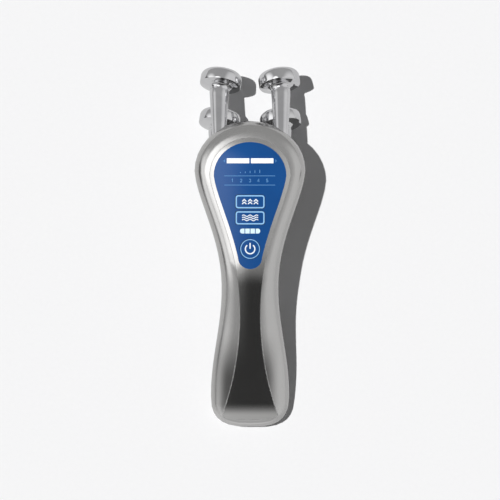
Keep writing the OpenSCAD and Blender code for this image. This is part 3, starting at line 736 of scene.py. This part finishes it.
# Two rows of upward chevrons
def addUpperSymbol():
    look = keyPrint
    x, y = look["upper"]
    half, rise = look["chevronHalf"], look["chevronRise"]
    chevrons = []
    for step in look["chevronAt"]:
        for lift in look["chevronLifts"]:
            chevrons.append(stroke([(x + step - half, y + lift), (x + step, y + lift + rise),
                                    (x + step + half, y + lift)], look["chevronLine"]))
    addPrint("upperKeySymbol", chevrons, "inkWhite", bodyOf["upper"])


# Three waves over each other
def addLowerSymbol():
    look = keyPrint
    x, y = look["lower"]
    steps = look["waveSteps"]
    turn = 2 * math.pi * look["waveCount"] / steps
    waves = []
    for lift in look["waveLifts"]:
        waves.append(stroke([(x + look["waveLength"] * (i / steps - 0.5),
                              y + lift + look["waveHeight"] * math.sin(turn * i))
                             for i in range(steps + 1)], look["waveLine"]))
    addPrint("lowerKeySymbol", waves, "inkWhite", bodyOf["lower"])


powerPrint = {
    "ringRadius": 4.65,
    "ringLine": 0.36,
    "ringSteps": 64,
    "signRadius": 2.35,
    "signLine": 0.62,
    "signSteps": 40,
    "gap": 38,   # degrees from the top to each end of the sign's arc
    "barTop": 3.0,
    "barFoot": 0.1,
}


def addPowerSign():
    look = powerPrint
    x, y = keyPrint["power"]
    ring = arc((x, y), look["ringRadius"], 0, 360, look["ringSteps"])[:-1]
    addPrint("powerRing", [stroke(ring, look["ringLine"], closed=True)], "inkPale", bodyOf["power"])
    sign = arc((x, y), look["signRadius"], 90 + look["gap"], 450 - look["gap"], look["signSteps"])
    bar = [(x, y + look["barFoot"]), (x, y + look["barTop"])]
    addPrint("powerSign", [stroke(line, look["signLine"]) for line in (sign, bar)], "inkWhite",
             bodyOf["power"])


# Level scale over the keys: two lines, digits, a sign of rising bars and marks at the lamp's ends
scalePrint = {
    "lineY": (35.8, 31.25),
    "lineFrom": -12.8,
    "lineTo": 12.45,
    "line": 0.28,
    "digitY": 33.5,
    "digitX": (-8.8, -4.45, -0.05, 4.15, 8.45),
    "digitHeight": 1.5,
    "digitLine": 0.3,
    "bars": 5,
    "barsY": 37.2,
    "barStep": 2.4,
    "barLeast": 0.5,
    "barRise": 0.28,
    "barLine": 0.34,
    "markX": 12.75,
    "markY": 43.25,
    "markHalf": (0.3, 0.6),
    "markLine": 0.26,
}


def addScale():
    look = scalePrint
    lines = [stroke([(look["lineFrom"], y), (look["lineTo"], y)], look["line"]) for y in look["lineY"]]
    addPrint("scaleLines", lines, "inkDim", bodyOf["panel"])
    bars = []
    for i in range(look["bars"]):
        x = (i - (look["bars"] - 1) / 2) * look["barStep"]
        top = look["barsY"] + look["barLeast"] + look["barRise"] * i
        bars.append(stroke([(x, look["barsY"]), (x, top)], look["barLine"]))
    addPrint("levelSign", bars, "inkDim", bodyOf["panel"])
    marks = []
    halfX, halfY = look["markHalf"]
    for side in (-1, 1):
        x, y = side * look["markX"], look["markY"]
        marks.append(stroke([(x - side * halfX, y - halfY), (x + side * halfX, y),
                             (x - side * halfX, y + halfY)], look["markLine"]))
    addPrint("barEndMarks", marks, "inkDim", bodyOf["panel"])


# Digits of the scale, each from a few strokes in a box 1 high and 0.6 wide
digitShapes = {
    1: [[(0.1, 0.78), (0.34, 1.0), (0.34, 0.0)]],
    2: [arc((0.3, 0.7), 0.27, 165, -25, 9) + [(0.06, 0.0), (0.6, 0.0)]],
    3: [arc((0.28, 0.74), 0.25, 160, -85, 9), arc((0.28, 0.27), 0.29, 85, -160, 10)],
    4: [[(0.44, 0.0), (0.44, 1.0), (0.02, 0.3), (0.62, 0.3)]],
    5: [[(0.54, 1.0), (0.12, 1.0), (0.08, 0.56)] + arc((0.28, 0.33), 0.31, 118, -150, 11)],
}
digitMiddle = (0.3, 0.5)


def addDigits():
    strips = []
    height = scalePrint["digitHeight"]
    for digit, x in zip(digitShapes, scalePrint["digitX"]):
        for points in digitShapes[digit]:
            line = [(x + (px - digitMiddle[0]) * height,
                     scalePrint["digitY"] + (py - digitMiddle[1]) * height) for px, py in points]
            strips.append(stroke(line, scalePrint["digitLine"]))
    addPrint("scaleDigits", strips, "inkDim", bodyOf["panel"])


addKeyFrames()
addUpperSymbol()
addLowerSymbol()
addPowerSign()
addScale()
addDigits()
print("printed marks made")


# Pale paper that the device lies on
table = {
    "reach": 240 * mm,
    "colour": (0.935, 0.935, 0.94),
    "grain": 0.012,
    "fineScale": 1500.0,
    "coarseScale": 500.0,
    "coarseShare": 0.5,
    "roughness": 0.85,
    "gloss": 0.1,
    "mirrored": (0.62, 0.62, 0.62),   # how the table looks in gloss
}


def addTable():
    mesh = bpy.data.meshes.new("tableTop")
    half = table["reach"]
    corners = [(x * half, y * half, 0) for x, y in ((-1, -1), (1, -1), (1, 1), (-1, 1))]
    mesh.from_pydata(corners, [], [(0, 1, 2, 3)])
    top = bpy.data.objects.new("tableTop", mesh)
    bpy.context.scene.collection.objects.link(top)
    material, tree, shader = newMaterial("tablePaper", Roughness=table["roughness"],
                                         Specular_IOR_Level=table["gloss"])
    darker = tuple(c - table["grain"] for c in table["colour"])
    paper = mixColour(tree, useGrain(tree, table)["Speckle"], darker, table["colour"])
    glossy = add(tree, "ShaderNodeLightPath").outputs["Is Glossy Ray"]
    link(tree, mixColour(tree, glossy, paper, table["mirrored"]), shader["Base Color"])
    mesh.materials.append(material)


studio = {
    "sunFrom": (-0.326, 0.104, 0.94),
    "sunStrength": 2.92,
    "sunAngle": 1.0,
    "sunDistance": 2,
    "ambient": (0.12, 0.12, 0.122),
    "background": (0.94, 0.94, 0.955),
    "base": 0.37,
}

# Panels of the studio that shine in gloss: direction, inner and outer angle, brightness.
# One that is darker than the base is a flag.
panels = {
    "leftPanel": ((-0.82, -0.02, 0.50), 12, 38, 1.15),
    "rightPanel": ((0.86, -0.12, 0.45), 26, 54, 0.72),
    "sunPanel": (studio["sunFrom"], 7, 19, 2.1),
    "leftHorizon": ((-1.0, 0.0, 0.04), 10, 22, 0.04),
    "rightLine": ((1.0, -0.05, 0.0), 2, 7, 0.04),
    "footFlag": ((0.05, -0.70, 0.70), 14, 34, 0.045),
    "footPanel": ((0.0, -0.99, 0.14), 10, 24, 0.8),
}


def makeWorld():
    world = bpy.data.worlds.new("studio")
    bpy.context.scene.world = world
    world.use_nodes = True
    tree = world.node_tree
    tree.nodes.clear()
    out = add(tree, "ShaderNodeOutputWorld")
    background = add(tree, "ShaderNodeBackground", Strength=1.0)
    direction = add(tree, "ShaderNodeTexCoord").outputs["Generated"]
    path = add(tree, "ShaderNodeLightPath")
    seen = (studio["base"],) * 3
    for towards, inner, outer, level in panels.values():
        along = add(tree, "ShaderNodeVectorMath", operation="DOT_PRODUCT")
        link(tree, direction, along.inputs[0])
        along.inputs[1].default_value = Vector(towards).normalized()
        edges = (math.cos(math.radians(angle)) for angle in (outer, inner))
        seen = mixColour(tree, ramp(tree, along.outputs["Value"], *edges), seen, (level,) * 3)
    colour = mixColour(tree, path.outputs["Is Glossy Ray"], studio["ambient"], seen)
    for ray in ("Is Transmission Ray", "Is Camera Ray"):
        colour = mixColour(tree, path.outputs[ray], colour, studio["background"])
    link(tree, colour, background.inputs["Color"])
    link(tree, background.outputs[0], out.inputs["Surface"])


def addSun():
    lamp = bpy.data.lights.new("sun", "SUN")
    lamp.energy = studio["sunStrength"]
    lamp.angle = math.radians(studio["sunAngle"])
    sun = bpy.data.objects.new("sun", lamp)
    bpy.context.scene.collection.objects.link(sun)
    towards = Vector(studio["sunFrom"]).normalized()
    sun.location = towards * studio["sunDistance"]
    sun.visible_glossy = False   # the sun panel shines in gloss in its stead
    sun.rotation_euler = (-towards).to_track_quat("-Z", "Y").to_euler()


# Straight above: the view is as wide as the field at the height of the controls
camera = {
    "lens": 200,
    "sensor": 36,
    "field": 250 * mm,
    "atHeight": 29 * mm,
    "x": -0.05 * mm,
    "y": -1 * mm,
    "clipEnd": 10,
}


def addCamera():
    data = bpy.data.cameras.new("camera")
    data.lens = camera["lens"]
    data.sensor_width = camera["sensor"]
    distance = camera["field"] * camera["lens"] / camera["sensor"]
    eye = bpy.data.objects.new("camera", data)
    bpy.context.scene.collection.objects.link(eye)
    eye.location = (camera["x"], camera["y"], camera["atHeight"] + distance)
    data.clip_end = camera["clipEnd"]
    bpy.context.scene.camera = eye


addTable()
makeWorld()
addSun()
addCamera()
bpy.context.scene.view_settings.view_transform = "Standard"
print("table, light and camera made")
